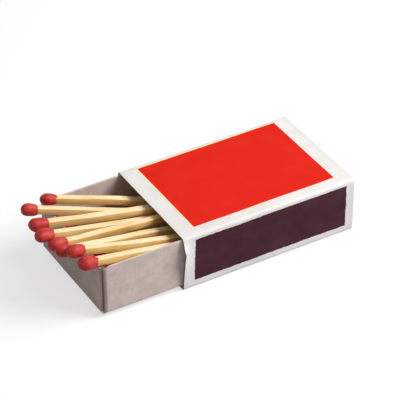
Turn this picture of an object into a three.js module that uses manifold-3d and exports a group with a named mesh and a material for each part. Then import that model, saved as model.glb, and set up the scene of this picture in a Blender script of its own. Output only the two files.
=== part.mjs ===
// A small cardboard matchbox: a folded sleeve, a tray drawn part way out of it, and its matches,
// whose heads lie fanned out over the tray's front wall.
// Millimetres, Z up. X runs along the slide and the tray opens towards -X. Y runs across the box.
// The origin is the middle of the sleeve's underside.

import * as THREE from 'three';
import { mergeVertices } from 'three/addons/utils/BufferGeometryUtils.js';
import Module from 'manifold-3d';

const wasm = await Module();
wasm.setup();

// Matches: square splints with a dipped head
const SPLINT = 2;
const MATCH_LENGTH = 43;
const HEAD_LENGTH = 5.2;
const HEAD_RADIUS = 1.75;
const HEAD_NECK_RADIUS = 1.62;
const HEAD_TIP_SHARE = 0.45;
const HEAD_TIP_FULLNESS = 2.2;
const HEAD_NECK_SHARE = 0.5;
const SPLINT_FRONT_SHARE = 0.31;
const SOCKET_CLEARANCE = 0.08;

// The box is made for its matches: how many lie side by side, and the room beside and behind them
const MATCHES_ACROSS = 8;
const ROOM_BESIDE_HEAD = 0.5875;
const ROOM_BEHIND_TAIL = 6.8;

// Sleeve: one sheet of card folded round, open at both ends
const SLEEVE_HEIGHT = 16.9;
const CARD = 0.45;
const SLEEVE_FOLD_RADIUS = 0.8;

// The near side wall flares out a little at the mouth, most at this share of its height
const FLARE = 1;
const FLARE_REACH = 3.4;
const FLARE_PEAK = 0.62;

// Printed field on the top, a thin skin between bare borders
const LABEL_THICKNESS = 0.08;
const LABEL_MOUTH_BORDER = 4.7;
const LABEL_BACK_BORDER = 4.4;
const LABEL_NEAR_BORDER = 3.3;
const LABEL_FAR_BORDER = 1.2;

// Striking coats on the two long sides
const STRIKER_THICKNESS = 0.1;
const STRIKER_MOUTH_BORDER = 3.7;
const STRIKER_BACK_BORDER = 2.5;
const STRIKER_TOP_BORDER = 1.4;
const STRIKER_FOOT_BORDER = 2.4;

// Tray: one sheet of grey board. Its ends fold up from the floor, over the ears of its side walls.
const BOARD = 0.55;
const TRAY_OPEN_SHARE = 0.5558;
const TRAY_FOLD_RADIUS = 1.4;
const TRAY_END_INSET = 0.3;
const SIDE_CLEARANCE = 0.2;
const FOOT_CLEARANCE = 0.3;
const HEAD_CLEARANCE = 0.25;
const EAR_LENGTH = 9;
const EAR_GAP = 0.2;
const EAR_FOOT_GAP = 0.3;
const END_PANEL_SETBACK = 1.2;

// How the matches lie: the room left where one rests on another, and where each one balances
const LIE_GAP = 0.2;
const LIE_END_MARGIN = 0.3;
const BALANCE_SHARE = 0.4;

// Matches that lie flat in the tray, in layers that fill its width, each nested on the one below
const LAYERS = 2;
const LAYER_STAGGER = 0.4;
const LAYER_FAN = 2.2;
const LAYER_WIGGLE = 1.6;
const LAYER_STRIDE = 2;
const STAGGER_STRIDE = 3;
const STAGGER_STEPS = 4;
const WIGGLE_STRIDE = 4;

// Matches on top, from the lowest to the highest. out is how far the middle of the head lies past the
// tray's front, as a share of a match's length. across is its place from the far wall (0) to the near
// wall (1), and swing is how much nearer the far wall its tail lies, as a share of the same width.
const TOP_MATCHES = [
  { out: -0.1279, across: 0.46, swing: -0.0756 },
  { out: -0.1209, across: 0.64, swing: 0 },
  { out: -0.1186, across: 0.86, swing: 0 },
  { out: -0.1116, across: 0.2, swing: -0.1113 },
  { out: 0.1767, across: 0.52, swing: 0 },
  { out: 0.1349, across: 0.165, swing: -0.3054 },
  { out: -0.0279, across: 0.08, swing: -0.3433 },
  { out: 0.1349, across: 0.635, swing: 0.0667 },
  { out: 0.1372, across: 0.75, swing: 0.0778 },
  { out: 0.1023, across: 0.85, swing: 0.0289 },
  { out: 0.0721, across: 0.962, swing: 0.0555 },
  { out: 0.1488, across: 0.345, swing: -0.1113 },
];

// Angles round a head at which the boxes that stand for its round section change
const HEAD_TURNS = [0, 0.45, 0.8, Math.PI / 2];

const ARC_STEPS = 5;
const HEAD_SIDES = 14;
const HEAD_RINGS = 7;
const HEAD_RING_CROWDING = 1.6;

// Sizes and places that follow
const SPLINT_FRONT_X = (SPLINT_FRONT_SHARE - 0.5) * HEAD_LENGTH;
const MATCH_SPACING = 2 * HEAD_RADIUS + ROOM_BESIDE_HEAD;
const EAR_SETBACK = BOARD + EAR_GAP;
const END_DEPTH = EAR_SETBACK + BOARD;
const TRAY_INNER_HALF_WIDTH = (MATCHES_ACROSS * MATCH_SPACING) / 2;
const TRAY_HALF_WIDTH = TRAY_INNER_HALF_WIDTH + BOARD;
const TRAY_LENGTH = MATCH_LENGTH + ROOM_BEHIND_TAIL + 2 * END_DEPTH;
const SLEEVE_WIDTH = 2 * (TRAY_HALF_WIDTH + SIDE_CLEARANCE + CARD);
const SLEEVE_LENGTH = TRAY_LENGTH + 2 * TRAY_END_INSET;
const MOUTH_X = -SLEEVE_LENGTH / 2;
const TRAY_FRONT_X = MOUTH_X - TRAY_OPEN_SHARE * MATCH_LENGTH;
const TRAY_BACK_X = TRAY_FRONT_X + TRAY_LENGTH;
const TRAY_BOTTOM = CARD + FOOT_CLEARANCE;
const TRAY_FLOOR = TRAY_BOTTOM + BOARD;
const TRAY_TOP = SLEEVE_HEIGHT - CARD - HEAD_CLEARANCE;

/** A finish: its colour and how rough it is. */
function finish(color, roughness) {
  return new THREE.MeshStandardMaterial({ color, roughness, metalness: 0 });
}

const finishes = {
  card: finish('#eceae4', 0.7),
  print: finish('#e62b1e', 0.5),
  striker: finish('#4a2b31', 0.95),
  board: finish('#b3a59c', 0.9),
  wood: finish('#efd3a2', 0.7),
  head: finish('#b93a36', 0.75),
};

/** A named mesh of one finish. */
function piece(name, geometry, material) {
  const mesh = new THREE.Mesh(geometry, material);
  mesh.name = name;
  return mesh;
}

/** A three.js geometry as a solid that can be joined and cut. */
function toSolid(geometry) {
  const bare = geometry.index ? geometry.toNonIndexed() : geometry.clone();
  bare.deleteAttribute('normal');
  bare.deleteAttribute('uv');
  const merged = mergeVertices(bare, 1e-4);
  return new wasm.Manifold(new wasm.Mesh({
    numProp: 3,
    vertProperties: new Float32Array(merged.attributes.position.array),
    triVerts: new Uint32Array(merged.index.array),
  }));
}

/** The geometry of a solid. */
function toGeometry(solid) {
  const mesh = solid.getMesh();
  const geometry = new THREE.BufferGeometry();
  geometry.setAttribute('position', new THREE.BufferAttribute(mesh.vertProperties, 3));
  geometry.setIndex(new THREE.BufferAttribute(mesh.triVerts, 1));
  geometry.computeVertexNormals();
  return geometry;
}

/** A block between two corners. */
function block(low, high) {
  const size = high.clone().sub(low);
  const middle = low.clone().add(high).multiplyScalar(0.5);
  return new THREE.BoxGeometry(size.x, size.y, size.z).translate(middle.x, middle.y, middle.z);
}

/** Points of an arc round a centre, from one angle to another. */
function arc(centreX, centreY, radius, from, to) {
  const points = [];
  for (let step = 0; step <= ARC_STEPS; step += 1) {
    const angle = from + ((to - from) * step) / ARC_STEPS;
    points.push(new THREE.Vector2(centreX + radius * Math.cos(angle), centreY + radius * Math.sin(angle)));
  }
  return points;
}

/** A rounded rectangle, anticlockwise, with extra points up its left side. */
function roundedLoop(left, bottom, right, top, radius, leftSteps) {
  const quarter = Math.PI / 2;
  const points = [
    ...arc(left + radius, bottom + radius, radius, 2 * quarter, 3 * quarter),
    ...arc(right - radius, bottom + radius, radius, 3 * quarter, 4 * quarter),
    ...arc(right - radius, top - radius, radius, 0, quarter),
    ...arc(left + radius, top - radius, radius, quarter, 2 * quarter),
  ];
  const rise = top - bottom - 2 * radius;
  for (let step = 1; step < leftSteps; step += 1) {
    points.push(new THREE.Vector2(left, top - radius - (rise * step) / leftSteps));
  }
  return points;
}

/** How far the near side wall stands out at a distance from the mouth and a height. */
function flareAt(fromMouth, height) {
  const reach = Math.max(0, 1 - fromMouth / FLARE_REACH);
  const share = THREE.MathUtils.clamp(height / SLEEVE_HEIGHT, 0, 1);
  const bend = share < FLARE_PEAK ? share / FLARE_PEAK : (1 - share) / (1 - FLARE_PEAK);
  return FLARE * reach * reach * Math.sin((Math.PI / 2) * bend) ** 2;
}

/** The sleeve: a folded ring of card, drawn along X, with the flare at its mouth. */
function makeSleeve() {
  const half = SLEEVE_WIDTH / 2;
  const sideSteps = 8;
  const flareSteps = 5;
  const outer = roundedLoop(-half, 0, half, SLEEVE_HEIGHT, SLEEVE_FOLD_RADIUS, sideSteps);
  const inner = roundedLoop(
    -half + CARD, CARD, half - CARD, SLEEVE_HEIGHT - CARD, SLEEVE_FOLD_RADIUS - CARD, sideSteps,
  );
  const shape = new THREE.Shape(outer);
  shape.holes.push(new THREE.Path(inner));
  const geometry = new THREE.ExtrudeGeometry(shape, { depth: 1, steps: flareSteps + 1, bevelEnabled: false });
  const position = geometry.attributes.position;
  for (let index = 0; index < position.count; index += 1) {
    const across = position.getX(index);
    const height = position.getY(index);
    const step = Math.round(position.getZ(index) * (flareSteps + 1));
    const fromMouth = step > flareSteps ? SLEEVE_LENGTH : (FLARE_REACH * step) / flareSteps;
    const isNearWall = across < -half + SLEEVE_FOLD_RADIUS;
    const flare = isNearWall ? flareAt(fromMouth, height) : 0;
    position.setXYZ(index, MOUTH_X + fromMouth, across - flare, height);
  }
  return piece('sleeve', toGeometry(toSolid(geometry)), finishes.card);
}

/** The printed field on the sleeve's top. */
function makeLabel() {
  const half = SLEEVE_WIDTH / 2;
  const low = new THREE.Vector3(MOUTH_X + LABEL_MOUTH_BORDER, -half + LABEL_NEAR_BORDER, SLEEVE_HEIGHT);
  const high = new THREE.Vector3(
    MOUTH_X + SLEEVE_LENGTH - LABEL_BACK_BORDER,
    half - LABEL_FAR_BORDER,
    SLEEVE_HEIGHT + LABEL_THICKNESS,
  );
  return piece('label', block(low, high), finishes.print);
}

/** The striking coat on one long side: side is -1 for the near wall and 1 for the far one. */
function makeStriker(name, side) {
  const wall = (side * SLEEVE_WIDTH) / 2;
  const face = wall + side * STRIKER_THICKNESS;
  const low = new THREE.Vector3(MOUTH_X + STRIKER_MOUTH_BORDER, Math.min(wall, face), STRIKER_FOOT_BORDER);
  const high = new THREE.Vector3(
    MOUTH_X + SLEEVE_LENGTH - STRIKER_BACK_BORDER,
    Math.max(wall, face),
    SLEEVE_HEIGHT - STRIKER_TOP_BORDER,
  );
  return piece(name, block(low, high), finishes.striker);
}

/** A strip of board that runs up one side, round a fold, along the middle and back up the other side. */
function channelShape(left, right, bottom, top) {
  const quarter = Math.PI / 2;
  const radius = TRAY_FOLD_RADIUS;
  const inner = radius - BOARD;
  return new THREE.Shape([
    new THREE.Vector2(left, top),
    ...arc(left + radius, bottom + radius, radius, 2 * quarter, 3 * quarter),
    ...arc(right - radius, bottom + radius, radius, 3 * quarter, 4 * quarter),
    new THREE.Vector2(right, top),
    new THREE.Vector2(right - BOARD, top),
    ...arc(right - radius, bottom + radius, inner, 4 * quarter, 3 * quarter),
    ...arc(left + radius, bottom + radius, inner, 3 * quarter, 2 * quarter),
    new THREE.Vector2(left + BOARD, top),
  ]);
}

/** The tray's floor and side walls, between the folds of its corners. */
function floorAndSides() {
  const shape = channelShape(-TRAY_HALF_WIDTH, TRAY_HALF_WIDTH, TRAY_BOTTOM, TRAY_TOP);
  const start = EAR_SETBACK + TRAY_FOLD_RADIUS;
  const depth = TRAY_LENGTH - 2 * start;
  const geometry = new THREE.ExtrudeGeometry(shape, { depth, bevelEnabled: false });
  geometry.rotateX(Math.PI / 2).rotateZ(Math.PI / 2);
  return geometry.translate(TRAY_FRONT_X + start, 0, 0);
}

/** The tray's floor and end panels, set back from its side faces. */
function floorAndEnds() {
  const width = 2 * (TRAY_HALF_WIDTH - END_PANEL_SETBACK);
  const shape = channelShape(TRAY_FRONT_X, TRAY_BACK_X, TRAY_BOTTOM, TRAY_TOP);
  const geometry = new THREE.ExtrudeGeometry(shape, { depth: width, bevelEnabled: false });
  return geometry.rotateX(Math.PI / 2).translate(0, width / 2, 0);
}

/** A side wall with its two ears turned in behind the end panels: side is -1 near and 1 far. */
function sideAndEars(side) {
  const height = TRAY_TOP - TRAY_FLOOR - EAR_FOOT_GAP;
  const left = TRAY_FRONT_X + EAR_SETBACK;
  const right = TRAY_BACK_X - EAR_SETBACK;
  const shape = channelShape(left, right, -TRAY_HALF_WIDTH, -TRAY_HALF_WIDTH + EAR_LENGTH);
  const geometry = new THREE.ExtrudeGeometry(shape, { depth: height, bevelEnabled: false });
  geometry.translate(0, 0, TRAY_FLOOR + EAR_FOOT_GAP);
  return side < 0 ? geometry : geometry.rotateZ(Math.PI).translate(left + right, 0, 0);
}

/** The tray: floor, side walls, ears and end panels, one folded sheet. */
function makeTray() {
  const solid = toSolid(floorAndSides())
    .add(toSolid(floorAndEnds()))
    .add(toSolid(sideAndEars(-1)))
    .add(toSolid(sideAndEars(1)));
  return piece('tray', toGeometry(solid), finishes.board);
}

/** The radius of a head at a share of its length from the tip. */
function headRadiusAt(share) {
  const swell = Math.sqrt(Math.max(0, 1 - (1 - Math.min(1, share / HEAD_TIP_SHARE)) ** HEAD_TIP_FULLNESS));
  const taper = THREE.MathUtils.smoothstep(share, HEAD_NECK_SHARE, 1);
  return HEAD_RADIUS * swell - (HEAD_RADIUS - HEAD_NECK_RADIUS) * taper;
}

/** A dipped head, along X with its tip at -X, with a square socket for the splint. */
function headGeometry() {
  const profile = [];
  for (let ring = 0; ring <= HEAD_RINGS; ring += 1) {
    const share = (ring / HEAD_RINGS) ** HEAD_RING_CROWDING;
    profile.push(new THREE.Vector2(ring === 0 ? 0 : headRadiusAt(share), HEAD_LENGTH * (0.5 - share)));
  }
  profile.push(new THREE.Vector2(0, -HEAD_LENGTH / 2));
  const bulb = new THREE.LatheGeometry(profile.reverse(), HEAD_SIDES).rotateZ(Math.PI / 2);
  const wall = SPLINT / 2 + SOCKET_CLEARANCE;
  const socket = block(
    new THREE.Vector3(SPLINT_FRONT_X - SOCKET_CLEARANCE, -wall, -wall),
    new THREE.Vector3(HEAD_LENGTH, wall, wall),
  );
  return toGeometry(toSolid(bulb).subtract(toSolid(socket)));
}

/** A splint, along X, from inside the head to the tail. */
function splintGeometry() {
  const half = SPLINT / 2;
  return block(
    new THREE.Vector3(SPLINT_FRONT_X, -half, -half),
    new THREE.Vector3(MATCH_LENGTH - HEAD_LENGTH / 2, half, half),
  );
}

/** The part of a convex outline that lies inside another, both anticlockwise. */
function overlap(outline, other) {
  let kept = outline;
  other.forEach((start, index) => {
    const along = other[(index + 1) % other.length].clone().sub(start);
    const inside = (point) => along.cross(point.clone().sub(start));
    const next = [];
    kept.forEach((point, at) => {
      const before = kept[(at + kept.length - 1) % kept.length];
      const now = inside(point);
      const then = inside(before);
      if (now * then < 0) {
        next.push(before.clone().lerp(point, then / (then - now)));
      }
      if (now >= 0) {
        next.push(point);
      }
    });
    kept = next;
  });
  return kept;
}

/** An upright block's outline seen from above. */
function planBox(lowX, lowY, highX, highY) {
  return [[lowX, lowY], [highX, lowY], [highX, highY], [lowX, highY]].map(
    ([x, y]) => new THREE.Vector2(x, y),
  );
}

/** The tray as what matches can rest on: its floor and the tops of its walls. */
function traySeats() {
  const floor = () => TRAY_FLOOR;
  const rim = () => TRAY_TOP;
  const innerFront = TRAY_FRONT_X + END_DEPTH;
  const innerBack = TRAY_BACK_X - END_DEPTH;
  const wide = TRAY_HALF_WIDTH;
  const narrow = TRAY_INNER_HALF_WIDTH;
  return [
    { outline: planBox(TRAY_FRONT_X, -wide, TRAY_BACK_X, wide), top: floor },
    { outline: planBox(TRAY_FRONT_X, -wide, innerFront, wide), top: rim },
    { outline: planBox(innerBack, -wide, TRAY_BACK_X, wide), top: rim },
    { outline: planBox(TRAY_FRONT_X, -wide, TRAY_BACK_X, -narrow), top: rim },
    { outline: planBox(TRAY_FRONT_X, narrow, TRAY_BACK_X, wide), top: rim },
  ];
}

/** The stretches of a match in plan: its round head as nested boxes, then its bare stick. */
function stretches(place) {
  const along = new THREE.Vector2(Math.cos(place.yaw), Math.sin(place.yaw));
  const aside = new THREE.Vector2(-along.y, along.x);
  const corner = (run, offset) => place.head.clone().addScaledVector(along, run).addScaledVector(aside, offset);
  const stretch = (from, to, wide, half) => ({
    half,
    outline: [corner(from, -wide), corner(to, -wide), corner(to, wide), corner(from, wide)],
  });
  const headEnd = HEAD_LENGTH / 2 + LIE_END_MARGIN;
  return {
    runOf: (point) => point.clone().sub(place.head).dot(along),
    parts: [
      ...HEAD_TURNS.slice(1).map((turn, index) => stretch(
        -headEnd, headEnd, HEAD_RADIUS * Math.cos(HEAD_TURNS[index]), HEAD_RADIUS * Math.sin(turn),
      )),
      stretch(headEnd, MATCH_LENGTH - HEAD_LENGTH / 2 + LIE_END_MARGIN, SPLINT / 2, SPLINT / 2),
    ],
  };
}

/** The lowest line that rests on the contacts on both sides of where the match balances. */
function restingLine(contacts) {
  const balance = BALANCE_SHARE * MATCH_LENGTH - HEAD_LENGTH / 2;
  let best = { level: -Infinity };
  contacts.filter((contact) => contact.run <= balance).forEach((front) => {
    contacts.filter((contact) => contact.run > balance).forEach((back) => {
      const slope = (back.height - front.height) / (back.run - front.run);
      const level = front.height + slope * (balance - front.run);
      if (level > best.level) {
        best = { level, slope, height: front.height - slope * front.run };
      }
    });
  });
  return best;
}

/** Lets a match down onto what is already there, and adds it to what the next ones can rest on. */
function lay(place, seats) {
  const { runOf, parts } = stretches(place);
  const contacts = [];
  parts.forEach((part) => {
    seats.forEach((seat) => {
      overlap(part.outline, seat.outline).forEach((point) => {
        contacts.push({ run: runOf(point), height: seat.top(point) + LIE_GAP + part.half });
      });
    });
  });
  const { slope, height } = restingLine(contacts);
  parts.forEach((part) => {
    const rise = part.half * Math.hypot(1, slope);
    seats.push({ outline: part.outline, top: (point) => height + slope * runOf(point) + rise });
  });
  return { slope, height };
}

/** Where every match lies in plan, from the lowest to the highest. */
function matchPlaces() {
  const places = [];
  const headX = TRAY_FRONT_X + END_DEPTH + HEAD_LENGTH / 2 + LIE_GAP + LIE_END_MARGIN;
  for (let layer = 0; layer < LAYERS; layer += 1) {
    const nested = layer % 2;
    for (let index = 0; index < MATCHES_ACROSS - nested; index += 1) {
      const share = (2 * index + 1 + nested) / MATCHES_ACROSS - 1;
      const turn = -LAYER_FAN * share + LAYER_WIGGLE * (1 - Math.abs(share)) * Math.sin(WIGGLE_STRIDE * index + LAYER_STRIDE * layer);
      places.push({
        head: new THREE.Vector2(
          headX + LAYER_STAGGER * ((STAGGER_STRIDE * index + LAYER_STRIDE * layer) % STAGGER_STEPS),
          share * TRAY_INNER_HALF_WIDTH,
        ),
        yaw: THREE.MathUtils.degToRad(turn),
      });
    }
  }
  TOP_MATCHES.forEach(({ out, across, swing }) => {
    places.push({
      head: new THREE.Vector2(TRAY_FRONT_X - out * MATCH_LENGTH, TRAY_HALF_WIDTH * (1 - 2 * across)),
      yaw: Math.atan2(2 * TRAY_HALF_WIDTH * swing, MATCH_LENGTH),
    });
  });
  return places;
}

/** The matches, each a splint and a head in a group turned to the way it lies. */
function makeMatches() {
  const pile = new THREE.Group();
  const seats = traySeats();
  matchPlaces().forEach((place, index) => {
    const { slope, height } = lay(place, seats);
    const name = `match_${String(index + 1).padStart(2, '0')}`;
    const match = new THREE.Group();
    match.add(piece(`${name}_splint`, splintGeometry(), finishes.wood));
    match.add(piece(`${name}_head`, headGeometry(), finishes.head));
    match.position.set(place.head.x, place.head.y, height);
    match.rotation.set(0, -Math.atan(slope), place.yaw, 'ZYX');
    pile.add(match);
  });
  return pile;
}

const group = new THREE.Group();
group.add(makeSleeve());
group.add(makeLabel());
group.add(makeStriker('striker_near', -1));
group.add(makeStriker('striker_far', 1));
group.add(makeTray());
group.add(makeMatches());

export default group;
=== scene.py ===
"""Dresses a small cardboard matchbox: a white card sleeve, a grey board tray and wooden matches."""

import logging
import math
import random
from dataclasses import dataclass, field
from enum import Enum, IntEnum
from typing import Any, Callable, Sequence

import bmesh
import bpy
from mathutils import Matrix, Vector, noise


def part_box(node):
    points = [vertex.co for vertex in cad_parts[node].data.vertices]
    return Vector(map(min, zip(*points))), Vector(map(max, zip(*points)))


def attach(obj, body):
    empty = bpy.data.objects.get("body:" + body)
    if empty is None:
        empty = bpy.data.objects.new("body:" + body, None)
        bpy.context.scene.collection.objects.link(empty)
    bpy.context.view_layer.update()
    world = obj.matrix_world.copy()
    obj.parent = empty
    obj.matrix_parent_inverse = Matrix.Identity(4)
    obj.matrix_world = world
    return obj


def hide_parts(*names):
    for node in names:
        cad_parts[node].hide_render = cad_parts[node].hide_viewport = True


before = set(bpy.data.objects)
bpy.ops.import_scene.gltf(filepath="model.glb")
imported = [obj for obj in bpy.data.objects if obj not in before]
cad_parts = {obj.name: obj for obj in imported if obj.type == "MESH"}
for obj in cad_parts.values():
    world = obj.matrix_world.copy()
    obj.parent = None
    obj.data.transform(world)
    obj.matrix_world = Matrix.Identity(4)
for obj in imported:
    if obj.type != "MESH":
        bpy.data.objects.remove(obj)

logging.basicConfig(level=logging.INFO, format="%(message)s")
log = logging.getLogger("matchbox")

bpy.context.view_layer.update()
MM = 0.001

NOISE_SEED = 11  # without it noise_vector starts from the clock, so every run would differ
CUT_MERGE = 1e-7  # metres within which a cut uses a vertex that is already there
JOIN_MERGE = 1e-6  # metres within which a solid's loose corners are one
FLAT_ANGLE = math.radians(0.5)  # faces that meet flatter than this become one
SHARP_ANGLE = math.radians(38)  # folds sharper than this are shaded as edges
FACING = 0.9  # share of a normal along an axis, past which a face faces that way
NEAR = 0.02 * MM  # how near a plane a point counts as lying in it
CORNER_GRID = 0.001 * MM  # corners nearer than this are counted once
CORE_AND_SHADE_SLOT = 1  # the material slot of a sheet's cut edges, partly the core's colour and partly painted shade

# A pixel of the render covers about 0.27 mm of the box. Fibres, grit, grain and pits are really 0.02 to
# 0.1 mm across, so their patterns below are drawn coarser, at 0.2 to 0.5 mm, and say so.


class Body(Enum):
    """The two bodies that the pieces ride on."""

    SLEEVE = "sleeve"
    TRAY = "tray"


class Slot(Enum):
    """The record's material slots."""

    CARD = "sleeve_card"
    PRINT = "print_red"
    COAT = "striking_coat"
    BOARD = "tray_board"
    WOOD = "splint_wood"
    HEAD = "match_head"


class Axis(IntEnum):
    """The axes, as places in a vector."""

    X = 0
    Y = 1
    Z = 2


def to_linear(colour: str) -> tuple[float, float, float, float]:
    """Turns an sRGB hex colour into linear light.

    Args:
        colour: Six hex digits after a hash sign.

    Returns:
        Red, green and blue in linear light, with an alpha of one.
    """
    parts = [int(colour[at:at + 2], 16) / 255 for at in (1, 3, 5)]
    linear = [p / 12.92 if p <= 0.04045 else ((p + 0.055) / 1.055) ** 2.4 for p in parts]
    return (linear[0], linear[1], linear[2], 1.0)


def per_metre(size_mm: float) -> float:
    """Gives the scale at which a texture's features are about size_mm across."""
    return 1 / (size_mm * MM)


def feed(tree: bpy.types.NodeTree, node: bpy.types.Node, sockets: dict[Any, Any]) -> None:
    """Sets or links a node's inputs.

    Args:
        tree: The node tree that holds the node.
        node: The node to feed.
        sockets: Input name or number to a value, or to the output socket that feeds it.
    """
    for name, value in sockets.items():
        if isinstance(value, bpy.types.NodeSocket):
            tree.links.new(value, node.inputs[name])
        else:
            node.inputs[name].default_value = value


def add_node(tree: bpy.types.NodeTree, kind: str, sockets: dict[Any, Any] | None = None,
             stops: Sequence[tuple[float, str]] = (), **settings: Any) -> bpy.types.Node:
    """Adds a shader node with its settings, values and links.

    Args:
        tree: The node tree to add to.
        kind: The node's type, without the ShaderNode prefix.
        sockets: Input name or number to a value, or to the output socket that feeds it.
        stops: For a colour ramp, the place and sRGB hex colour of each stop, from low to high.
        settings: Attributes of the node.

    Returns:
        The new node.
    """
    node = tree.nodes.new("ShaderNode" + kind)
    for name, value in settings.items():
        setattr(node, name, value)
    feed(tree, node, sockets or {})
    elements = node.color_ramp.elements if stops else ()
    while len(elements) < len(stops):
        elements.new(0.5)
    for element, (place, colour) in zip(elements, stops):
        element.position = place
        element.color = to_linear(colour)
    return node


def new_material(name: str) -> tuple[bpy.types.Material, bpy.types.NodeTree, bpy.types.Node]:
    """Makes an empty node material.

    Args:
        name: The material's name.

    Returns:
        The material, its node tree and its Principled shader.
    """
    material = bpy.data.materials.new(name)
    material.use_nodes = True
    return material, material.node_tree, material.node_tree.nodes["Principled BSDF"]


@dataclass(frozen=True)
class Fade:
    """Where in a noise a pattern starts, where it is full, and how strong it is there."""

    start: float
    full: float
    strength: float

    def sockets(self, value: bpy.types.NodeSocket) -> dict[str, Any]:
        """Gives the inputs of a Map Range node that fades the pattern in."""
        return {"Value": value, "From Min": self.start, "From Max": self.full, "To Max": self.strength}


@dataclass(frozen=True, kw_only=True)
class Finish:
    """The shine and the fine relief of a surface."""

    roughness: float
    specular: float
    relief: float
    relief_mm: float

    def dress(self, tree: bpy.types.NodeTree, shader: bpy.types.Node, colour: bpy.types.NodeSocket,
              height: bpy.types.NodeSocket) -> None:
        """Gives a shader its colour, relief and shine.

        Args:
            tree: The material's node tree.
            shader: Its Principled shader.
            colour: What gives the colour.
            height: What gives the relief.
        """
        bump = add_node(tree, "Bump", {"Height": height, "Strength": self.relief,
                                       "Distance": self.relief_mm * MM})
        feed(tree, shader, {"Base Color": colour, "Normal": bump.outputs["Normal"],
                            "Roughness": self.roughness, "Specular IOR Level": self.specular})


@dataclass(frozen=True, kw_only=True)
class LinedCard(Finish):
    """White-lined folding card, pressed smooth between rollers."""

    white: str = "#F1EEEB"
    shade: str = "#E8E4E0"
    worn: str = "#CFC8BF"
    fibre_mm: float = 0.5  # drawn coarser than the real 0.03 mm
    cockle_mm: float = 7.0
    roughness: float = 0.62
    specular: float = 0.3
    relief: float = 0.12
    relief_mm: float = 0.02

    def material(self) -> bpy.types.Material:
        """Builds the face of the card.

        Returns:
            The material, which reads how worn each place is from the attribute "wear".
        """
        # To the eye a soft matt white, faintly cloudy, and greyer where the corners are rubbed.
        material, tree, shader = new_material("white lined folding card, calendered")
        place = add_node(tree, "TexCoord").outputs["Object"]
        cloud = add_node(tree, "TexNoise", {"Vector": place, "Scale": per_metre(self.cockle_mm),
                                            "Detail": 4.0})
        fibre = add_node(tree, "TexNoise", {"Vector": place, "Scale": per_metre(self.fibre_mm),
                                            "Detail": 3.0})
        tone = add_node(tree, "ValToRGB", {"Fac": cloud.outputs["Fac"]},
                        [(0.35, self.shade), (0.62, self.white)])
        wear = add_node(tree, "Attribute", attribute_name="wear")
        spread = add_node(tree, "Math", {0: wear.outputs["Fac"], 1: fibre.outputs["Fac"]},
                          operation="MULTIPLY")
        edge = add_node(tree, "Mix", {"Factor": spread.outputs[0], "A": tone.outputs["Color"],
                                      "B": to_linear(self.worn)}, data_type="RGBA")
        self.dress(tree, shader, edge.outputs["Result"], fibre.outputs["Fac"])
        return material


@dataclass(frozen=True, kw_only=True)
class ShadedCutEdge(Finish):
    """The edge that a blade leaves on card or board, darkened with painted shade."""

    name: str
    pale: str
    dark: str
    streak_mm: float = 0.35  # drawn coarser than the real 0.1 mm
    roughness: float = 0.9
    specular: float = 0.5
    relief: float = 0.4
    relief_mm: float = 0.05

    def material(self) -> bpy.types.Material:
        """Builds the cut edge.

        Returns:
            The material.
        """
        # To the eye dull bare pulp, finely streaked, and darker than the faces: partly because bare pulp
        # soaks up light, partly painted shade of the gaps and the mouth that the edges stand in.
        material, tree, shader = new_material(self.name)
        place = add_node(tree, "TexCoord").outputs["Object"]
        streak = add_node(tree, "TexNoise", {"Vector": place, "Scale": per_metre(self.streak_mm),
                                             "Detail": 3.0})
        tone = add_node(tree, "ValToRGB", {"Fac": streak.outputs["Fac"]},
                        [(0.35, self.dark), (0.65, self.pale)])
        self.dress(tree, shader, tone.outputs["Color"], streak.outputs["Fac"])
        return material


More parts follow.
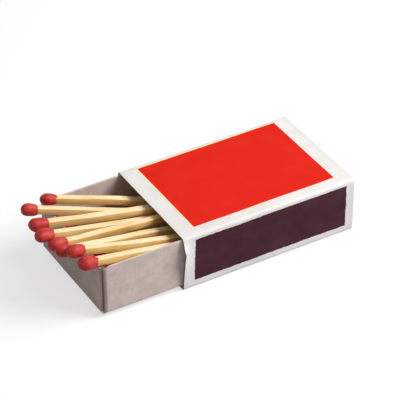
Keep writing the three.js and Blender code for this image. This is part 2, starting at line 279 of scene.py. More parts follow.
@dataclass(frozen=True, kw_only=True)
class PrintedInk(Finish):
    """Offset ink laid solid on the card, with the yellow pass slightly out of register."""

    red: str = "#DB1905"
    thin: str = "#DE220B"
    yellow: str = "#FBEDC2"
    orange: str = "#F07A38"
    mottle_mm: float = 5.0
    grain_mm: float = 0.3  # drawn coarser than the real 0.05 mm
    wide_fringe_mm: float = 0.3
    thin_fringe_mm: float = 0.12
    roughness: float = 0.6
    specular: float = 0.15
    relief: float = 0.08
    relief_mm: float = 0.02

    def material(self, low: Vector, high: Vector) -> bpy.types.Material:
        """Builds the ink.

        Args:
            low: The lowest corner of the printed field.
            high: Its highest corner.

        Returns:
            The material.
        """
        # To the eye an even, satin red, hardly mottled, with a pale fringe on two sides and an orange line.
        material, tree, shader = new_material("offset ink on card, printed solid")
        place = add_node(tree, "TexCoord").outputs["Object"]
        mottle = add_node(tree, "TexNoise", {"Vector": place, "Scale": per_metre(self.mottle_mm),
                                             "Detail": 5.0})
        grain = add_node(tree, "TexNoise", {"Vector": place, "Scale": per_metre(self.grain_mm),
                                            "Detail": 2.0})
        tone = add_node(tree, "ValToRGB", {"Fac": mottle.outputs["Fac"]},
                        [(0.3, self.red), (0.7, self.thin)])
        split = add_node(tree, "SeparateXYZ", {"Vector": place})
        wide, thin = self.wide_fringe_mm * MM, self.thin_fringe_mm * MM
        pale_tests = (("X", low.x + wide, "LESS_THAN"), ("Y", high.y - wide, "GREATER_THAN"))
        warm_tests = (("X", low.x + wide + thin, "LESS_THAN"), ("Y", high.y - wide - thin, "GREATER_THAN"),
                      ("X", high.x - thin, "GREATER_THAN"), ("Y", low.y + thin, "LESS_THAN"))
        tinted = tone.outputs["Color"]
        for colour, tests in ((self.orange, warm_tests), (self.yellow, pale_tests)):
            bands = [add_node(tree, "Math", {0: split.outputs[axis], 1: edge}, operation=test).outputs[0]
                     for axis, edge, test in tests]
            tinted = add_node(tree, "Mix", {"Factor": self.either(tree, bands), "A": tinted,
                                            "B": to_linear(colour)}, data_type="RGBA").outputs["Result"]
        self.dress(tree, shader, tinted, grain.outputs["Fac"])
        return material

    @staticmethod
    def either(tree: bpy.types.NodeTree, tests: list[bpy.types.NodeSocket]) -> bpy.types.NodeSocket:
        """Joins tests that each give one or nought.

        Args:
            tree: The node tree that holds them.
            tests: The tests' outputs.

        Returns:
            An output that gives one where any of the tests does.
        """
        found = tests[0]
        for test in tests[1:]:
            found = add_node(tree, "Math", {0: found, 1: test}, operation="MAXIMUM").outputs[0]
        return found


@dataclass(frozen=True, kw_only=True)
class StrikingCoat(Finish):
    """Red phosphorus and glass grit in glue, rolled on."""

    dark: str = "#3E1C24"
    light: str = "#54303A"
    grit_mm: float = 0.22  # drawn coarser than the real 0.05 mm
    band_mm: float = 6.0
    band_share: float = 0.4
    roughness: float = 0.85
    specular: float = 0.15
    relief: float = 0.5
    relief_mm: float = 0.04

    def material(self) -> bpy.types.Material:
        """Builds the coat.

        Returns:
            The material.
        """
        # To the eye a very dark wine brown, dull and gritty, a little thinner here and there.
        material, tree, shader = new_material("rolled striking coat, glass grit in glue")
        place = add_node(tree, "TexCoord").outputs["Object"]
        grit = add_node(tree, "TexNoise", {"Vector": place, "Scale": per_metre(self.grit_mm),
                                           "Detail": 2.0})
        band = add_node(tree, "TexNoise", {"Vector": place, "Scale": per_metre(self.band_mm),
                                           "Detail": 3.0})
        both = add_node(tree, "Mix", {"Factor": self.band_share, "A": grit.outputs["Fac"],
                                      "B": band.outputs["Fac"]}, data_type="FLOAT")
        tone = add_node(tree, "ValToRGB", {"Fac": both.outputs["Result"]},
                        [(0.35, self.dark), (0.65, self.light)])
        self.dress(tree, shader, tone.outputs["Color"], grit.outputs["Fac"])
        return material


@dataclass(frozen=True, kw_only=True)
class GreyBoard(Finish):
    """Unbleached board, couched from mixed waste pulp."""

    pale: str = "#DCCCC5"
    deep: str = "#CDBAB3"
    fleck: str = "#7D6F68"
    lint: str = "#DDD3CB"
    scuff: str = "#E2D8D2"
    pulp_mm: float = 2.6
    fibre_mm: float = 0.3  # drawn coarser than the real 0.03 mm
    strand_mm: float = 0.42  # drawn coarser than the real 0.1 mm
    strand_length: float = 4.0
    pale_strand: Fade = Fade(0.6, 0.76, 0.4)
    dark_strand: Fade = Fade(0.4, 0.27, 0.14)
    scuff_mm: float = 1.3
    scuff_length: float = 2.2
    scuffed: Fade = Fade(0.68, 0.72, 0.75)
    fleck_mm: float = 1.5
    fleck_share: float = 0.1
    dark_from: float = 0.9
    light_from: float = 0.88
    roughness: float = 0.85
    specular: float = 0.25
    relief: float = 0.35
    relief_mm: float = 0.04

    def material(self) -> bpy.types.Material:
        """Builds the board.

        Returns:
            The material.
        """
        # To the eye a dull pinkish grey, clouded, with upright strands, rubbed spots, specks and lint.
        material, tree, shader = new_material("unbleached grey board, pulp with flecks")
        place = add_node(tree, "TexCoord").outputs["Object"]
        pulp = add_node(tree, "TexNoise", {"Vector": place, "Scale": per_metre(self.pulp_mm),
                                           "Detail": 6.0, "Roughness": 0.65})
        fibre = add_node(tree, "TexNoise", {"Vector": place, "Scale": per_metre(self.fibre_mm),
                                            "Detail": 3.0})
        ground = add_node(tree, "ValToRGB", {"Fac": pulp.outputs["Fac"]},
                          [(0.35, self.deep), (0.65, self.pale)])
        upright = add_node(tree, "Mapping", {"Vector": place, "Scale": (1, 1, 1 / self.strand_length)})
        strand = add_node(tree, "TexNoise", {"Vector": upright.outputs["Vector"],
                                             "Scale": per_metre(self.strand_mm), "Detail": 2.0})
        rubbed = add_node(tree, "Mapping", {"Vector": place, "Scale": (1, 1, 1 / self.scuff_length)})
        scuffs = add_node(tree, "TexNoise", {"Vector": rubbed.outputs["Vector"],
                                             "Scale": per_metre(self.scuff_mm), "Detail": 5.0,
                                             "Roughness": 0.7})
        tone = ground.outputs["Color"]
        for fade, pattern, colour in ((self.pale_strand, strand, self.scuff),
                                      (self.dark_strand, strand, self.fleck),
                                      (self.scuffed, scuffs, self.scuff)):
            shown = add_node(tree, "MapRange", fade.sockets(pattern.outputs["Fac"]))
            tone = add_node(tree, "Mix", {"Factor": shown.outputs["Result"], "A": tone,
                                          "B": to_linear(colour)}, data_type="RGBA").outputs["Result"]
        dots = add_node(tree, "TexVoronoi", {"Vector": place, "Scale": per_metre(self.fleck_mm)})
        small = add_node(tree, "Math", {0: dots.outputs["Distance"], 1: self.fleck_share},
                         operation="LESS_THAN")
        chance = add_node(tree, "SeparateColor", {"Color": dots.outputs["Color"]})
        for part, start, colour in (("Red", self.dark_from, self.fleck),
                                    ("Green", self.light_from, self.lint)):
            drawn = add_node(tree, "Math", {0: chance.outputs[part], 1: start}, operation="GREATER_THAN")
            dot = add_node(tree, "Math", {0: drawn.outputs[0], 1: small.outputs[0]}, operation="MULTIPLY")
            tone = add_node(tree, "Mix", {"Factor": dot.outputs[0], "A": tone, "B": to_linear(colour)},
                            data_type="RGBA").outputs["Result"]
        self.dress(tree, shader, tone, fibre.outputs["Fac"])
        return material


@dataclass(frozen=True, kw_only=True)
class AspenSplint(Finish):
    """Aspen, peeled to a veneer and chopped into sticks."""

    pale: str = "#FCE4BC"
    mid: str = "#F6D6A2"
    dark: str = "#E2B676"
    # darker tones for the upright sides: painted shade
    shaded_pale: str = "#F3CE8C"
    shaded_mid: str = "#E7B96E"
    shaded_dark: str = "#C88F47"
    grain_mm: float = 0.22  # drawn coarser than the real 0.08 mm
    streak_length: float = 26.0
    patches_per_mm: float = 0.12
    patch_share: float = 0.45
    roughness: float = 0.6
    specular: float = 0.3
    relief: float = 0.4
    relief_mm: float = 0.05

    def material(self) -> bpy.types.Material:
        """Builds the wood.

        Returns:
            The material. Its grain follows each splint's own "splint_place", which is in millimetres, and
            "shaded_side" marks the two upright sides, whose darker, more orange tone is painted shade.
        """
        # To the eye pale cream with fine lines along the stick, silky and dull; the two upright sides are
        # darker and more orange, as painted shade.
        material, tree, shader = new_material("aspen splint, peeled and chopped")
        place = add_node(tree, "Attribute", attribute_name="splint_place").outputs["Vector"]
        along = add_node(tree, "Mapping", {"Vector": place, "Scale": (1 / self.streak_length, 1, 1)})
        grain = add_node(tree, "TexNoise", {"Vector": along.outputs["Vector"], "Scale": 1 / self.grain_mm,
                                            "Detail": 4.0, "Roughness": 0.6})
        patch = add_node(tree, "TexNoise", {"Vector": place, "Scale": self.patches_per_mm, "Detail": 2.0})
        both = add_node(tree, "Mix", {"Factor": self.patch_share, "A": grain.outputs["Fac"],
                                      "B": patch.outputs["Fac"]}, data_type="FLOAT")
        peeled = add_node(tree, "ValToRGB", {"Fac": both.outputs["Result"]},
                          [(0.34, self.dark), (0.44, self.mid), (0.6, self.pale)])
        # the upright sides' darker ramp is painted shade
        chopped = add_node(tree, "ValToRGB", {"Fac": both.outputs["Result"]},
                           [(0.34, self.shaded_dark), (0.46, self.shaded_mid), (0.64, self.shaded_pale)])
        side = add_node(tree, "Attribute", attribute_name="shaded_side")
        tone = add_node(tree, "Mix", {"Factor": side.outputs["Fac"], "A": peeled.outputs["Color"],
                                      "B": chopped.outputs["Color"]}, data_type="RGBA")
        self.dress(tree, shader, tone.outputs["Result"], grain.outputs["Fac"])
        return material


@dataclass(frozen=True, kw_only=True)
class MatchCompound(Finish):
    """Match compound, dipped and dried."""

    red: str = "#BE302C"
    deep: str = "#A62226"
    bloom: str = "#C94C42"
    pit_mm: float = 0.3  # drawn coarser than the real 0.1 mm
    bloom_mm: float = 1.6
    roughness: float = 0.5
    specular: float = 0.28
    relief: float = 0.3
    relief_mm: float = 0.05

    def material(self) -> bpy.types.Material:
        """Builds the compound.

        Returns:
            The material.
        """
        # To the eye a chalky red with a faint bloom and tiny pits.
        material, tree, shader = new_material("dried match compound, dipped")
        place = add_node(tree, "TexCoord").outputs["Object"]
        pits = add_node(tree, "TexNoise", {"Vector": place, "Scale": per_metre(self.pit_mm), "Detail": 3.0})
        cloud = add_node(tree, "TexNoise", {"Vector": place, "Scale": per_metre(self.bloom_mm),
                                            "Detail": 3.0})
        tone = add_node(tree, "ValToRGB", {"Fac": cloud.outputs["Fac"]},
                        [(0.3, self.deep), (0.52, self.red), (0.8, self.bloom)])
        self.dress(tree, shader, tone.outputs["Color"], pits.outputs["Fac"])
        return material


def finish_piece(name: str, mesh: bmesh.types.BMesh, body: Body, node: str,
                 materials: list[bpy.types.Material]) -> bpy.types.Object:
    """Turns a bmesh into a piece that rides on a body and stands for a node.

    Args:
        name: The piece's name.
        mesh: The finished shape, in the frame's own place.
        body: The body that it moves with.
        node: The node that it replaces.
        materials: Its materials, in slot order.

    Returns:
        The new object.
    """
    data = bpy.data.meshes.new(name)
    mesh.to_mesh(data)
    mesh.free()
    for material in materials:
        data.materials.append(material)
    data.shade_smooth()
    data.set_sharp_from_angle(angle=SHARP_ANGLE)
    piece = bpy.data.objects.new(name, data)
    bpy.context.scene.collection.objects.link(piece)
    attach(piece, body.value)
    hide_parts(node)
    log.info("%s: %d faces", name, len(data.polygons))
    return piece


def cut_across(mesh: bmesh.types.BMesh, axis: Axis, places: list[float]) -> None:
    """Cuts a mesh by planes square to one axis, so that it can bend there.

    Args:
        mesh: The mesh to cut.
        axis: The axis that the planes are square to.
        places: Where the planes lie along it, in metres.
    """
    normal = Vector((0, 0, 0))
    normal[axis] = 1
    for place in places:
        geometry = [*mesh.verts, *mesh.edges, *mesh.faces]
        bmesh.ops.bisect_plane(mesh, geom=geometry, plane_co=normal * place, plane_no=normal, dist=CUT_MERGE)


def stations(low: float, high: float, step: float) -> list[float]:
    """Gives evenly spaced places strictly between two ends, about step apart."""
    count = max(1, round((high - low) / step))
    return [low + (high - low) * index / count for index in range(1, count)]


def wave(point: Vector, size_mm: float, amount_mm: float, seed: float = 0.0) -> Vector:
    """Gives a smooth random shift at a place, in metres, for features about size_mm across."""
    shifted = point / (size_mm * MM) + Vector((seed, seed * 1.7, seed * 2.3))
    return noise.noise_vector(shifted) * amount_mm * MM


@dataclass
class FoldedSheet:
    """A sheet of card or board folded to shape, finished from its plain solid."""

    node: str
    step_mm: float = 1.6
    sag_mm: float = 0.10
    sag_size_mm: float = 14.0
    rim_mm: float = 0.05
    rim_size_mm: float = 1.1
    rim_seed: float = 5.0
    edge_mm: float = 0.06
    edge_segments: int = 2
    edge_degrees: float = 50.0

    def plain(self) -> bmesh.types.BMesh:
        """Copies the node's solid with its faces joined up again.

        Returns:
            The copy, whose flat sides are single faces.
        """
        mesh = bmesh.new()
        mesh.from_mesh(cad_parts[self.node].data)
        bmesh.ops.remove_doubles(mesh, verts=mesh.verts, dist=JOIN_MERGE)
        bmesh.ops.dissolve_limit(mesh, angle_limit=FLAT_ANGLE, verts=mesh.verts, edges=mesh.edges)
        return mesh

    def cut(self, mesh: bmesh.types.BMesh) -> None:
        """Cuts the sheet finely enough to cockle.

        Args:
            mesh: The sheet.
        """
        low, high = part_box(self.node)
        for axis in Axis:
            cut_across(mesh, axis, stations(low[axis], high[axis], self.step_mm * MM))
        bmesh.ops.triangulate(mesh, faces=[face for face in mesh.faces if len(face.verts) > 4])

    def shift(self, point: Vector) -> Vector:
        """Gives how far the sheet's cockle moves a place."""
        return wave(point, self.sag_size_mm, self.sag_mm)

    def roughen(self, mesh: bmesh.types.BMesh, on_rim: Callable[[Vector], bool]) -> None:
        """Cockles the faces and frays the cut rims, but presses nothing below the floor.

        Args:
            mesh: The sheet.
            on_rim: Says whether a place is on a cut rim.
        """
        for vert in mesh.verts:
            move = self.shift(vert.co)
            if on_rim(vert.co):
                move += wave(vert.co, self.rim_size_mm, self.rim_mm, self.rim_seed)
            vert.co += move
            vert.co.z = max(vert.co.z, 0.0)

    def soften(self, piece: bpy.types.Object) -> None:
        """Rounds the cut edges.

        Args:
            piece: The finished sheet.
        """
        bevel = piece.modifiers.new("cut edges", "BEVEL")
        bevel.width = self.edge_mm * MM
        bevel.segments = self.edge_segments
        bevel.limit_method = "ANGLE"
        bevel.angle_limit = math.radians(self.edge_degrees)


@dataclass
class Sleeve:
    """The sleeve with its printed field and its two striking coats."""

    card: LinedCard = field(default_factory=LinedCard)
    # the cut ends' colour is the card's grey core, darkened further as painted shade
    edge: ShadedCutEdge = field(default_factory=lambda: ShadedCutEdge(name="cut edge of lined card, grey core with painted shade", pale="#85786C",
                                                          dark="#51463E"))
    ink: PrintedInk = field(default_factory=PrintedInk)
    coat: StrikingCoat = field(default_factory=StrikingCoat)
    sheet: FoldedSheet = field(default_factory=lambda: FoldedSheet("sleeve"))
    wear_reach_mm: float = 1.4
    wear_floor: float = 0.55
    end_wear: float = 0.35
    end_wear_mm: float = 0.5
    bow_mm: float = 0.5
    bow_reach_mm: float = 4.5
    bow_height_mm: float = 12.6
    bow_half_mm: float = 4.0
    nick_mm: float = 0.3
    nick_half_mm: float = 0.8
    ink_lift_mm: float = 0.03
    coat_lift_mm: float = 0.05
    coat_step_mm: float = 0.3
    coat_ragged_mm: float = 0.15
    coat_ragged_size_mm: float = 0.55
    coat_seed: float = 3.0
    coat_slant_mm: float = 0.4

    def build(self) -> None:
        """Builds the folded card, the print and the coats."""
        self.build_card()
        self.build_print()
        for node in ("striker_near", "striker_far"):
            self.build_coat(node)

    def build_card(self) -> None:
        """Builds the folded ring of card, with its cut ends in the colour of its grey core, darkened further
        as painted shade.
        """
        mesh = self.sheet.plain()
        self.sheet.cut(mesh)
        low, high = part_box("sleeve")
        # the cut ends take the edge colour: grey core plus painted shade of the shaded mouth
        for face in mesh.faces:
            middle = face.calc_center_median()
            if abs(face.normal.x) > FACING and min(middle.x - low.x, high.x - middle.x) < NEAR:
                face.material_index = CORE_AND_SHADE_SLOT
        wear = mesh.verts.layers.float.new("wear")
        for vert in mesh.verts:
            vert[wear] = self.wear_at(vert.co, low, high)
        self.bow_mouth(mesh)
        self.sheet.roughen(mesh, lambda co: min(co.x - low.x, high.x - co.x) < NEAR)
        piece = finish_piece("sleeve_folded_card", mesh, Body.SLEEVE, "sleeve",
                             [self.card.material(), self.edge.material()])
        self.sheet.soften(piece)

    def wear_at(self, point: Vector, low: Vector, high: Vector) -> float:
        """Gives how worn the card is at a place: most along its folds and at its ends.

        Args:
            point: The place.
            low: The sleeve's lowest corner.
            high: Its highest corner.

        Returns:
            The wear, from nought up.
        """
        reach = self.wear_reach_mm * MM
        across = min(point.y - low.y, high.y - point.y)
        up = min(point.z - low.z, high.z - point.z)
        end = min(point.x - low.x, high.x - point.x)
        corner = math.hypot(max(0.0, reach - across), max(0.0, reach - up)) / reach
        rubbed = self.end_wear if end < self.end_wear_mm * MM else 0.0
        return max(0.0, min(1.0, corner - self.wear_floor)) + rubbed

    def bow_mouth(self, mesh: bmesh.types.BMesh) -> None:
        """Bows the near side out a little more at the mouth, and nicks its edge there.

        Args:
            mesh: The folded card.
        """
        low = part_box("sleeve")[0]
        for vert in mesh.verts:
            run = (vert.co.x - low.x) / MM
            height = abs(vert.co.z / MM - self.bow_height_mm)
            if run < self.bow_reach_mm and vert.co.y < low.y / 2 and height < self.bow_half_mm:
                crest = math.cos(height / self.bow_half_mm * math.pi / 2) ** 2
                vert.co.y -= self.bow_mm * (1 - run / self.bow_reach_mm) ** 2 * crest * MM
                if height < self.nick_half_mm and run * MM < NEAR:
                    vert.co.x += self.nick_mm * (1 - height / self.nick_half_mm) * MM

    def laid_on(self, node: str, axis: Axis, side: int, lift: float, ragged: float) -> bmesh.types.BMesh:
        """Makes a skin on one face of the card, which follows its cockle.

        Args:
            node: The node that gives the skin's outline.
            axis: The axis that the skin faces along.
            side: 1 or -1 for which way it faces.
            lift: How far it stands off the card, in millimetres.
            ragged: How far its outline wanders, in millimetres.

        Returns:
            The skin.
        """
        low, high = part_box(node)
        middle = (low + high) / 2
        size = high - low
        size[axis] = lift * MM
        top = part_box("sleeve")[1]
        face = top.z if axis == Axis.Z else side * top.y
        middle[axis] = face + side * size[axis] / 2
        mesh = bmesh.new()
        bmesh.ops.create_cube(mesh, size=1, matrix=Matrix.Translation(middle) @ Matrix.Diagonal((*size, 1)))
        step = self.coat_step_mm if ragged else self.sheet.step_mm
        others = [other for other in Axis if other != axis]
        for other in others:
            cut_across(mesh, other, stations(low[other], high[other], step * MM))
        for vert in mesh.verts:
            start = vert.co.copy()
            vert.co += self.sheet.shift(start)
            inset = min(min(start[other] - low[other], high[other] - start[other]) for other in others)
            if ragged and inset < NEAR:
                vert.co += wave(start, self.coat_ragged_size_mm, ragged, self.coat_seed)
                if start.x - low.x < NEAR:
                    vert.co.x -= self.coat_slant_mm * MM * (high.z - start.z) / (high.z - low.z)
                vert.co[axis] = start[axis] + self.sheet.shift(start)[axis]
        return mesh

    def build_print(self) -> None:
        """Lays the printed field on the top."""
        low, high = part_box("label")
        mesh = self.laid_on("label", Axis.Z, 1, self.ink_lift_mm, 0.0)
        finish_piece("printed_field", mesh, Body.SLEEVE, "label", [self.ink.material(low, high)])

    def build_coat(self, node: str) -> None:
        """Lays a striking coat on one long side.

        Args:
            node: The coat's node.
        """
        side = -1 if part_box(node)[0].y < 0 else 1
        mesh = self.laid_on(node, Axis.Y, side, self.coat_lift_mm, self.coat_ragged_mm)
        finish_piece(node + "_coat", mesh, Body.SLEEVE, node, [self.coat.material()])


@dataclass
class Tray:
    """The folded board tray."""

    board: GreyBoard = field(default_factory=GreyBoard)
    sheet: FoldedSheet = field(default_factory=lambda: FoldedSheet(
        "tray", sag_mm=0.08, rim_mm=0.09, rim_size_mm=1.4, edge_mm=0.1))
    # the dark cut-edge colour on the tray is painted shade of the gaps at its corners
    edge: ShadedCutEdge = field(default_factory=lambda: ShadedCutEdge(name="cut edge of grey board with painted corner shade", pale="#9A8479",
                                                          dark="#66524A"))
    setback_mm: float = 1.2
    # height above which the panels' cut edges carry painted shade
    shaded_from_mm: float = 2.0
    widen_mm: float = 0.65
    widen_from_mm: float = 0.6
    widen_to_mm: float = 2.0
    floor_zone_mm: float = 1.55
    fold_mm: float = 1.4
    fold_start_mm: float = 0.75
    fold_slack: float = 1.001
    squareness: float = 6.0
    panel_mm: float = 0.65
    corner_reach_mm: float = 3.2
    corner_gap_mm: float = 0.45
    corner_dip_mm: float = 0.9
    top_band_mm: float = 0.1

    def build(self) -> None:
        """Builds the tray with its frayed top edge."""
        mesh = self.sheet.plain()
        self.sheet.cut(mesh)
        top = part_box("tray")[1].z
        self.shade_panel_edges(mesh)
        self.widen_panels(mesh)
        self.square_folds(mesh)
        self.open_corners(mesh)
        self.sheet.roughen(mesh, lambda co: top - co.z < NEAR)
        piece = finish_piece("tray_folded_board", mesh, Body.TRAY, "tray",
                             [self.board.material(), self.edge.material()])
        self.sheet.soften(piece)

    def panel_edge(self) -> float:
        """Gives how far to each side the planes of the end panels' cut edges lie."""
        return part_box("tray")[1].y - self.setback_mm * MM

    def shade_panel_edges(self, mesh: bmesh.types.BMesh) -> None:
        """Gives the end panels' cut edges, which stand at the corners, the dark cut-edge colour as painted
        shade of the gap there.

        Args:
            mesh: The tray.
        """
        edge = self.panel_edge()
        for face in mesh.faces:
            middle = face.calc_center_median()
            upright = abs(face.normal.y) > FACING and middle.z > self.shaded_from_mm * MM
            # painted shade on the cut edges that face the corner gaps
            if upright and abs(abs(middle.y) - edge) < NEAR:
                face.material_index = CORE_AND_SHADE_SLOT

    def widen_panels(self, mesh: bmesh.types.BMesh) -> None:
        """Brings the end panels' cut edges nearer the side faces.

        Args:
            mesh: The tray.
        """
        low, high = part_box("tray")
        edge = self.panel_edge()
        for vert in mesh.verts:
            run = min(vert.co.x - low.x, high.x - vert.co.x) / MM
            movable = run < self.widen_from_mm or vert.co.z < self.floor_zone_mm * MM
            if movable and abs(abs(vert.co.y) - edge) < NEAR:
                share = (self.widen_to_mm - run) / (self.widen_to_mm - self.widen_from_mm)
                vert.co.y += math.copysign(self.widen_mm * max(0.0, min(1.0, share)) * MM, vert.co.y)

    def square_folds(self, mesh: bmesh.types.BMesh) -> None:
        """Creases the upright folds of the side walls more sharply than the folds of the floor.

        Args:
            mesh: The tray.
        """
        low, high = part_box("tray")
        fold = self.fold_mm * MM
        power = self.squareness
        for vert in mesh.verts:
            inward = 1 if vert.co.x < (low.x + high.x) / 2 else -1
            end = low.x if inward > 0 else high.x
            side = 1 if vert.co.y > 0 else -1
            centre = Vector((end + inward * (self.fold_start_mm * MM + fold), side * (high.y - fold), 0))
            off = Vector(((centre.x - vert.co.x) * inward, (vert.co.y - centre.y) * side)) / fold
            in_fold = off.x > 0 and off.y > 0 and off.length < self.fold_slack
            if in_fold and vert.co.z > self.floor_zone_mm * MM:
                round_part = off.length / (off.x ** power + off.y ** power) ** (1 / power)
                vert.co.x = centre.x - inward * off.x * round_part * fold
                vert.co.y = centre.y + side * off.y * round_part * fold

    def open_corners(self, mesh: bmesh.types.BMesh) -> None:
        """Springs the side walls' folds a little off the end panels and wears their top corners down.

        Args:
            mesh: The tray.
        """
        low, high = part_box("tray")
        for vert in mesh.verts:
            for end, inward in ((low.x, 1), (high.x, -1)):
                run = (vert.co.x - end) * inward / MM
                if self.panel_mm < run < self.corner_reach_mm:
                    share = 1 - (run - self.panel_mm) / (self.corner_reach_mm - self.panel_mm)
                    vert.co.x += inward * share * self.corner_gap_mm * MM
                    if high.z - vert.co.z < self.top_band_mm * MM:
                        vert.co.z -= share ** 2 * self.corner_dip_mm * MM


@dataclass
class Match:
    """One match: where it lies, and its own small differences.

    The head's length and girth are shares of the usual ones.
    """

    number: int
    head_length: float
    head_girth: float
    front: Vector = field(init=False)
    tail: Vector = field(init=False)

    def __post_init__(self) -> None:
        """Reads where the match lies from its plain splint."""
        corners = sorted(self.corners(self.splint_node), key=lambda co: co.x)
        self.front = sum(corners[:4], Vector()) / 4
        self.tail = sum(corners[4:], Vector()) / 4

    @property
    def splint_node(self) -> str:
        """The splint's node."""
        return f"match_{self.number:02d}_splint"

    @property
    def head_node(self) -> str:
        """The head's node."""
        return f"match_{self.number:02d}_head"

    @staticmethod
    def corners(node: str) -> list[Vector]:
        """Finds a node's corners, each once.

        Args:
            node: The node's name.

        Returns:
            The corners' places.
        """
        found = {}
        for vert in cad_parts[node].data.vertices:
            found[tuple(round(value / CORNER_GRID) for value in vert.co)] = vert.co.copy()
        return list(found.values())

    def pose(self) -> Matrix:
        """Works out how the match lies.

        Returns:
            The turn and place that lay a match drawn along X from its front end.
        """
        along = (self.tail - self.front).normalized()
        aside = Vector((-along.y, along.x, 0)).normalized()
        up = along.cross(aside)
        turn = Matrix((along, aside, up)).transposed().to_4x4()
        return Matrix.Translation(self.front) @ turn


@dataclass
class Matches:
    """All the matches: split wooden splints with dipped heads."""

    wood: AspenSplint = field(default_factory=AspenSplint)
    compound: MatchCompound = field(default_factory=MatchCompound)
    seed: int = 11
    own_seeds: tuple[float, float] = (0, 900)
    side_mm: float = 2.0
    edge_mm: float = 0.09
    step_mm: float = 1.2
    thinner: float = 0.06
    bow_mm: float = 0.2
    bow_size_mm: float = 13.0
    split_mm: float = 0.09
    split_size_mm: float = 1.8
    split_stretch: float = 0.35
    twist_degrees: float = 7.0
    twist_size_mm: float = 20.0
    mouth_run_mm: float = 26.0
    bends_mm: dict[int, float] = field(default_factory=lambda: {27: -0.9, 25: -0.6})
    head_length_mm: float = 5.1
    head_radius_mm: float = 1.74
    head_lengths: tuple[float, float] = (0.92, 1.05)
    head_girths: tuple[float, float] = (0.92, 1.06)
    head_sizes: dict[int, tuple[float, float]] = field(default_factory=lambda: {
        8: (0.88, 0.82), 15: (0.88, 0.82), 20: (1.02, 1.08), 21: (0.9, 1.0), 22: (0.93, 0.9),
        23: (1.06, 1.14), 24: (0.96, 0.98), 25: (1.0, 1.08), 26: (1.06, 1.12), 27: (1.1, 1.13)})
    head_segments: int = 32
    head_rings: int = 24
    splint_front: float = 0.31
    tip_end: float = 0.44
    tip_fullness: float = 2.05
    neck_start: float = 0.46
    neck_fullness: float = 2.1
    neck_narrowing: float = 0.3
    closing: float = 0.045
    lump_mm: float = 0.2
    lump_size_mm: float = 2.4
    skirt_start: float = 0.8
    fray_mm: float = 0.3
    fray_size_mm: float = 0.8
    frayed_mm: dict[int, float] = field(default_factory=lambda: {26: 0.9})

    def build(self) -> None:
        """Builds every match in turn."""
        draw = random.Random(self.seed)
        wood = self.wood.material()
        compound = self.compound.material()
        count = sum(1 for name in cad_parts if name.endswith("_splint"))
        for number in range(1, count + 1):
            usual = (draw.uniform(*self.head_lengths), draw.uniform(*self.head_girths))
            match = Match(number, *self.head_sizes.get(number, usual))
            self.build_splint(match, wood, draw.uniform(*self.own_seeds))
            self.build_head(match, compound, draw.uniform(*self.own_seeds))

    def build_splint(self, match: Match, wood: bpy.types.Material, seed: float) -> None:
        """Builds one splint: a square stick, split rather than sawn, so slightly uneven.

        Args:
            match: The match that it belongs to.
            wood: Its material.
            seed: Where its own unevenness is drawn from.
        """
        length = (match.tail - match.front).length
        side = self.side_mm * MM
        mesh = bmesh.new()
        place = Matrix.Translation((length / 2, 0, 0)) @ Matrix.Diagonal((length, side, side, 1))
        bmesh.ops.create_cube(mesh, size=1, matrix=place)
        long_edges = [e for e in mesh.edges if abs((e.verts[0].co - e.verts[1].co).x) > length / 2]
        bmesh.ops.bevel(mesh, geom=long_edges, offset=self.edge_mm * MM, offset_type="OFFSET", segments=2,
                        profile=0.5, affect="EDGES", material=-1)
        cut_across(mesh, Axis.X, stations(0, length, self.step_mm * MM))
        for axis in (Axis.Y, Axis.Z):
            cut_across(mesh, axis, [0.0])
        # marks the upright sides for the darker tone of painted shade, the top and bottom for the pale one
        chopped = mesh.faces.layers.float.new("shaded_side")
        mesh.normal_update()
        for face in mesh.faces:
            face[chopped] = min(1.0, max(0.0, abs(face.normal.y) - abs(face.normal.z) + 0.5))
        self.warp_splint(mesh, self.bends_mm.get(match.number, 0.0) * MM, seed)
        mesh.transform(match.pose())
        finish_piece(match.splint_node + "_wood", mesh, Body.TRAY, match.splint_node, [wood])

    def warp_splint(self, mesh: bmesh.types.BMesh, bend: float, seed: float) -> None:
        """Gives a straight splint its place map, and then its bow, twist, uneven faces and bend.

        Args:
            mesh: The splint, drawn along X from its front end.
            bend: How far it sways aside at most, in metres.
            seed: Where its own unevenness is drawn from.
        """
        wide = 1 - self.thinner + self.thinner * math.sin(seed)
        high = 1 - self.thinner + self.thinner * math.cos(seed)
        grain = mesh.verts.layers.float_vector.new("splint_place")
        for vert in mesh.verts:
            vert[grain] = vert.co / MM + Vector((seed, seed / 3, seed / 7))
            run = Vector((vert.co.x, 0, 0))
            bow = wave(run, self.bow_size_mm, self.bow_mm, seed)
            stretched = Vector((vert.co.x * self.split_stretch, vert.co.y, vert.co.z))
            split = wave(stretched, self.split_size_mm, self.split_mm, seed)
            twist = noise.noise(run / (self.twist_size_mm * MM) + Vector((seed, 0, 0)))
            turn = Matrix.Rotation(math.radians(self.twist_degrees) * twist, 3, "X")
            sway = bend * math.sin(min(1.0, run.x / (2 * self.mouth_run_mm * MM)) * math.pi) ** 2
            vert.co = turn @ Vector((vert.co.x, vert.co.y * wide, vert.co.z * high))
            vert.co += Vector((0, bow.y + split.y + sway, bow.z + split.z))

    def head_radius(self, share: float) -> float:
        """Gives the outline of a head.

        Args:
            share: The place along the head, as a share of its length from the tip.

        Returns:
            The radius there, as a share of the widest.
        """
        tip = math.sqrt(max(0.0, 1 - (1 - min(1.0, share / self.tip_end)) ** self.tip_fullness))
        neck = max(0.0, (share - self.neck_start) / (1 - self.neck_start))
        return tip * (1 - self.neck_narrowing * neck ** self.neck_fullness)

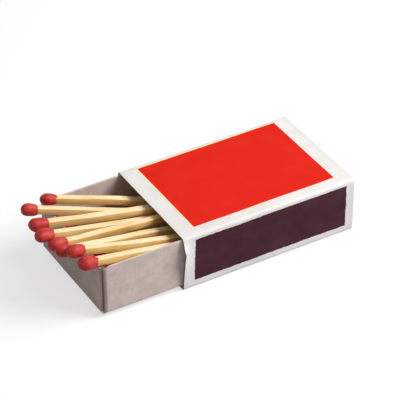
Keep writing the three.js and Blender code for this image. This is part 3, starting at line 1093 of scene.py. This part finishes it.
    def build_head(self, match: Match, compound: bpy.types.Material, seed: float) -> None:
        """Builds one dipped head, lumpy as dried drops are, with a ragged skirt on the splint.

        Args:
            match: The match that it belongs to.
            compound: Its material.
            seed: Where its own lumps are drawn from.
        """
        mesh = bmesh.new()
        bmesh.ops.create_uvsphere(mesh, u_segments=self.head_segments, v_segments=self.head_rings, radius=1,
                                  matrix=Matrix.Rotation(math.radians(-90), 4, "Y"))
        length = self.head_length_mm * match.head_length
        radius = self.head_radius_mm * match.head_girth
        fray = self.frayed_mm.get(match.number, self.fray_mm)
        for vert in mesh.verts:
            share = math.acos(max(-1.0, min(1.0, -vert.co.x))) / math.pi
            ring = math.hypot(vert.co.y, vert.co.z) or 1.0
            closing = min(1.0, (1 - share) / self.closing)
            wide = self.head_radius(share) * radius / ring * closing
            along = (share - self.splint_front) * length
            vert.co = Vector((along, vert.co.y * wide, vert.co.z * wide)) * MM
            vert.co += wave(vert.co, self.lump_size_mm, self.lump_mm, seed)
            if share > self.skirt_start:
                ragged = fray * (share - self.skirt_start) / (1 - self.skirt_start)
                vert.co.x += wave(vert.co, self.fray_size_mm, ragged, seed).x
        mesh.transform(match.pose())
        finish_piece(match.head_node + "_dipped", mesh, Body.TRAY, match.head_node, [compound])


@dataclass
class Studio:
    """The plain floor, the soft light and the camera."""

    azimuth: float = -30.558
    elevation: float = 36.353
    roll: float = 0.057
    focal_px: float = 2076.2
    frame_px: float = 400.0
    distance_mm: float = 556.998
    aside_mm: float = 13.153
    above_mm: float = 14.918
    sensor_mm: float = 36.0
    clip_start: float = 0.01
    floor_grey: str = "#A6A6A6"
    floor_drop_mm: float = 0.02
    floor_side: float = 4.0
    floor_glow: float = 0.64
    fill_strength: float = 0.31
    key_power: float = 5.9
    key_size: float = 0.5
    key_distance: float = 0.7
    key_side: tuple[float, float, float] = (0.82, -0.56, 1.0)

    def build(self) -> None:
        """Builds the floor, lights and camera."""
        bpy.context.scene.view_settings.view_transform = "Standard"
        self.build_floor()
        self.build_world()
        self.build_key()
        self.build_camera()

    @staticmethod
    def seen_directly(tree: bpy.types.NodeTree) -> bpy.types.NodeSocket:
        """Tells rays from the camera and from gloss from rays that light the box.

        Args:
            tree: The node tree to add to.

        Returns:
            An output that gives one for rays from the camera or from gloss, and nought otherwise.
        """
        path = add_node(tree, "LightPath")
        seen = add_node(tree, "Math", {0: path.outputs["Is Camera Ray"], 1: path.outputs["Is Glossy Ray"]},
                        operation="MAXIMUM")
        return seen.outputs[0]

    def build_floor(self) -> None:
        """Lays a pale floor that looks white to the camera and keeps the shadow."""
        mesh = bmesh.new()
        bmesh.ops.create_grid(mesh, x_segments=1, y_segments=1, size=self.floor_side / 2,
                              matrix=Matrix.Translation((0, 0, -self.floor_drop_mm * MM)))
        data = bpy.data.meshes.new("floor")
        mesh.to_mesh(data)
        mesh.free()
        material, tree, shader = new_material("matt white paper floor")
        glow = add_node(tree, "Math", {0: self.seen_directly(tree), 1: self.floor_glow},
                        operation="MULTIPLY")
        feed(tree, shader, {"Base Color": to_linear(self.floor_grey), "Roughness": 1.0,
                            "Specular IOR Level": 0.0, "Emission Color": (1, 1, 1, 1),
                            "Emission Strength": glow.outputs[0]})
        data.materials.append(material)
        floor = bpy.data.objects.new("floor", data)
        bpy.context.scene.collection.objects.link(floor)

    def build_world(self) -> None:
        """Surrounds the box with soft light, white where the camera sees it."""
        world = bpy.data.worlds.new("soft room")
        bpy.context.scene.world = world
        world.use_nodes = True
        tree = world.node_tree
        strength = add_node(tree, "Mix", {"Factor": self.seen_directly(tree), "A": self.fill_strength,
                                          "B": 1.0}, data_type="FLOAT")
        feed(tree, tree.nodes["Background"], {"Color": (1, 1, 1, 1), "Strength": strength.outputs["Result"]})

    def build_key(self) -> None:
        """Hangs one large soft lamp in front of the box on its right."""
        data = bpy.data.lights.new("key", "AREA")
        data.shape = "DISK"
        data.size = self.key_size
        data.energy = self.key_power
        lamp = bpy.data.objects.new("key", data)
        bpy.context.scene.collection.objects.link(lamp)
        towards = Vector(self.key_side).normalized()
        lamp.location = towards * self.key_distance
        lamp.rotation_euler = towards.to_track_quat("Z", "Y").to_euler()

    def build_camera(self) -> None:
        """Sets the camera at the photograph's viewing angle."""
        azimuth, elevation, roll = (math.radians(a) for a in (self.azimuth, self.elevation, self.roll))
        back = Vector((math.sin(azimuth) * math.cos(elevation), -math.cos(azimuth) * math.cos(elevation),
                       math.sin(elevation)))
        level = Vector((math.cos(azimuth), math.sin(azimuth), 0))
        upright = back.cross(level)
        right = level * math.cos(roll) + upright * math.sin(roll)
        up = upright * math.cos(roll) - level * math.sin(roll)
        mouth = Vector((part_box("sleeve")[0].x, 0, 0))
        place = mouth + (right * self.aside_mm + up * self.above_mm + back * self.distance_mm) * MM
        data = bpy.data.cameras.new("camera")
        data.sensor_width = self.sensor_mm
        data.lens = self.focal_px / self.frame_px * self.sensor_mm
        data.clip_start = self.clip_start
        camera = bpy.data.objects.new("camera", data)
        camera.matrix_world = Matrix.Translation(place) @ Matrix((right, up, back)).transposed().to_4x4()
        bpy.context.scene.collection.objects.link(camera)
        bpy.context.scene.camera = camera


def main() -> None:
    """Builds the studio and every piece."""
    noise.seed_set(NOISE_SEED)
    for assembly in (Studio(), Sleeve(), Tray(), Matches()):
        log.info("building the %s", type(assembly).__name__.lower())
        assembly.build()


if __name__ == "__main__":
    main()
